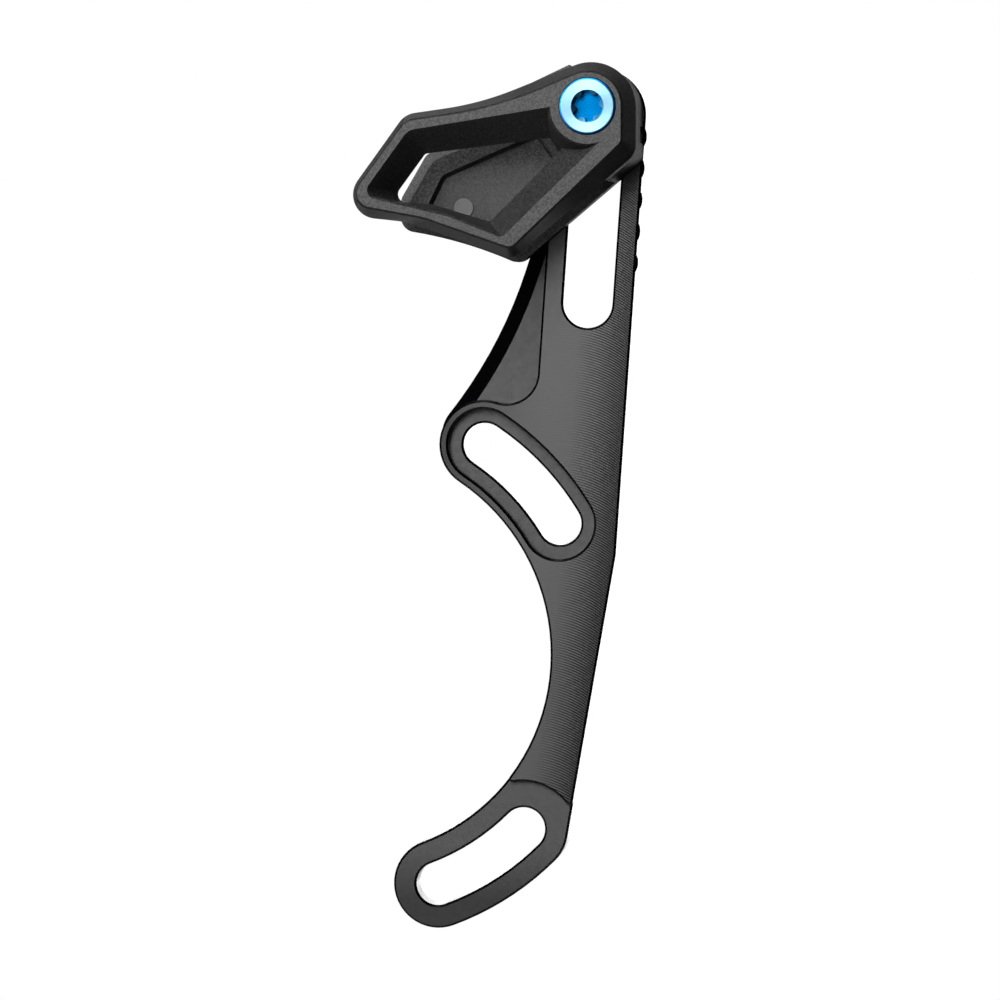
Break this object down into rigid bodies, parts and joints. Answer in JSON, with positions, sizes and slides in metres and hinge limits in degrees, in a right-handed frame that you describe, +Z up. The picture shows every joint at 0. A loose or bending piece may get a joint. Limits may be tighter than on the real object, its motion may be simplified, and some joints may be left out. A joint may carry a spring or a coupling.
{
  "type": "bicycle chain guide",
  "caption": "Bicycle chain guide: machined backplate with curved mounting slots and a height slot, carrying a bolted moulded cage that keeps the chain on its ring.",
  "frame": {"origin": "the crank axis, in the plane of the backplate's mounting faces", "axes": "+Z up along the plate, +Y into the bicycle frame, -Y towards the chain and the viewer, +X to the viewer's right"},
  "size_m": [0.0417, 0.0207, 0.1284],
  "materials": {
    "black_anodised_aluminium": "face-milled and black anodised, satin",
    "black_nylon": "moulded glass-filled nylon with a fine spark texture",
    "blue_anodised_aluminium": "turned and blue anodised, glossy",
    "zinc_plated_steel": "turned and zinc plated"
  },
  "bodies": {
    "plate": {"backplate": "black_anodised_aluminium"},
    "cage": {"inner_guide": "black_nylon", "outer_guide": "black_nylon", "guide_bolt": "blue_anodised_aluminium", "slot_nut": "zinc_plated_steel"}
  },
  "joints": [
    {"name": "height_adjust", "type": "slide", "parent": "plate", "child": "cage", "axis": [0.0684, 0, 0.9977], "range_m": [-0.0282, 0]}
  ]
}
